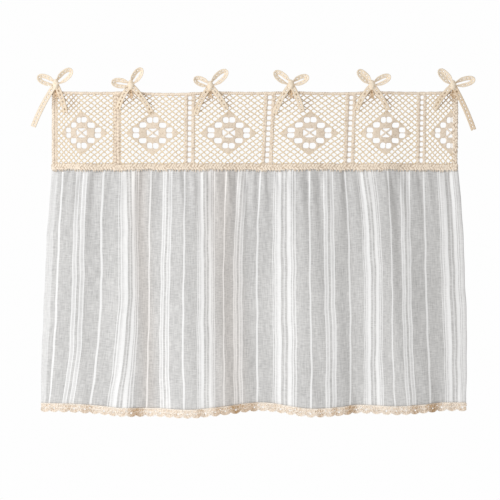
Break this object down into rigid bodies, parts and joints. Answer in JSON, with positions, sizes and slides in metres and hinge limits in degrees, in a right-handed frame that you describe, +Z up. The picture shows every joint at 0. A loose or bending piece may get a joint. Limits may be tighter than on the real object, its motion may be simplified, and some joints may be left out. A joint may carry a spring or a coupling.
{
  "type": "oven curtain",
  "caption": "Short under-counter curtain of sheer striped cloth, gathered onto a crochet lace heading with tape ties in bows and edged with a scalloped crochet trim.",
  "frame": {"origin": "middle of the heading's top edge, at the mount top_edge", "axes": "+Z up, +X along the curtain's width to the right as it is seen from the front, and the front faces -Y"},
  "size_m": [0.9909, 0.0535, 0.7789],
  "materials": {
    "cream_crochet": "matt cotton crochet",
    "striped_cloth": "matt sheer woven cotton"
  },
  "bodies": {
    "root": {"lace_heading": "cream_crochet", "cloth_panel": "striped_cloth", "hem_trim": "cream_crochet", "tie_1": "cream_crochet", "tie_2": "cream_crochet", "tie_3": "cream_crochet", "tie_4": "cream_crochet", "tie_5": "cream_crochet", "tie_6": "cream_crochet"}
  },
  "joints": []
}
